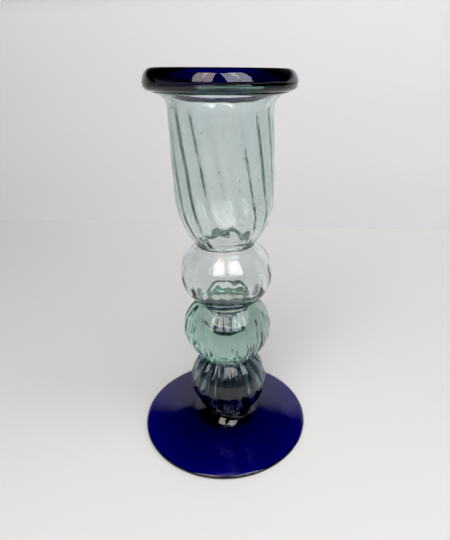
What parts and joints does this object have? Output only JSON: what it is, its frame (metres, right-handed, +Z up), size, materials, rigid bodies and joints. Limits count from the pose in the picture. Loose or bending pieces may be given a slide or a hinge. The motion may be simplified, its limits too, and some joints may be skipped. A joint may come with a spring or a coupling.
{
  "type": "glass candlestick",
  "caption": "Hand-blown glass candlestick: a clear ribbed candle cup on a stem of three stacked bulbs, with a cobalt lip wrap and a wide cobalt disc foot.",
  "frame": {"origin": "middle of the foot's underside, where the candlestick stands", "axes": "+Z up along the stem; the hand-set stem stands 2.7 mm off the foot's middle, towards +X"},
  "size_m": [0.0978, 0.0978, 0.2004],
  "materials": {
    "clear_glass": "glossy, pale sea-green recycled glass with small seeds",
    "cobalt_glass": "glossy, deep cobalt blue glass"
  },
  "bodies": {
    "root": {"foot": "cobalt_glass", "lower_bulb": "clear_glass", "middle_bulb": "clear_glass", "upper_bulb": "clear_glass", "candle_cup": "clear_glass", "flared_lip": "clear_glass", "lip_wrap": "cobalt_glass"}
  },
  "joints": []
}
